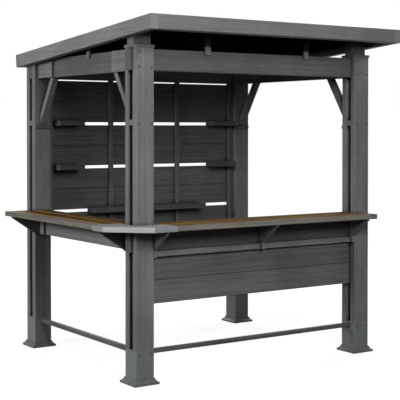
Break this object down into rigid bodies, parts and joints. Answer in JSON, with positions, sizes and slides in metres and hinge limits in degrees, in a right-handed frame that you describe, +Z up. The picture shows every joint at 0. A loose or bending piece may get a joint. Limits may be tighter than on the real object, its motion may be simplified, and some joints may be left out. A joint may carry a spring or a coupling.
{
  "type": "garden bar gazebo",
  "caption": "Dark grey timber garden bar gazebo with a mono-pitch roof, an L-shaped bar with a clipped corner, a slotted rear wall with shelves and an open side.",
  "frame": {"origin": "on the floor, under the middle of the whole outline", "axes": "+Z up, front of the bar towards -Y, open side towards +X"},
  "size_m": [2.2526, 1.9654, 2.352],
  "materials": {
    "frame_wood": "dark grey stain over planed softwood, matt",
    "wall_wood": "dark grey stain over planed boards, matt",
    "edge_wood": "lighter grey stain, satin",
    "bar_wood": "dark brown stain, satin",
    "foot_trim": "grey powder coat, satin"
  },
  "bodies": {
    "root": {"front_left_post": "frame_wood", "front_right_post": "frame_wood", "rear_left_post": "frame_wood", "rear_right_post": "frame_wood", "post_cores": "frame_wood", "post_foot_fillers": "foot_trim", "post_mid_fillers": "frame_wood", "post_base_trims": "foot_trim", "front_post_caps": "foot_trim", "front_post_risers": "frame_wood", "front_beam": "frame_wood", "rear_beam": "frame_wood", "left_beam": "frame_wood", "right_beam": "frame_wood", "beam_end_blocks": "frame_wood", "knee_braces": "frame_wood", "brace_seats": "frame_wood", "rafters": "frame_wood", "roof_deck": "wall_wood", "front_fascia": "frame_wood", "rear_fascia": "frame_wood", "left_fascia": "frame_wood", "right_fascia": "frame_wood", "roof_struts": "frame_wood", "bar_corner": "edge_wood", "front_bar_border": "edge_wood", "left_bar_border": "edge_wood", "bar_end_boards": "edge_wood", "front_bar_slats": "bar_wood", "left_bar_slats": "bar_wood", "front_bar_brackets": "frame_wood", "left_bar_brackets": "frame_wood", "front_apron": "frame_wood", "left_apron": "frame_wood", "front_ledger": "frame_wood", "front_skirt": "frame_wood", "skirt_stiles": "frame_wood", "front_foot_rail": "frame_wood", "left_foot_rail": "frame_wood", "rear_wall_boards": "wall_wood", "wall_stiles": "wall_wood", "wall_battens": "wall_wood", "left_shelves": "wall_wood", "right_shelves": "wall_wood", "centre_shelf": "wall_wood"}
  },
  "joints": []
}
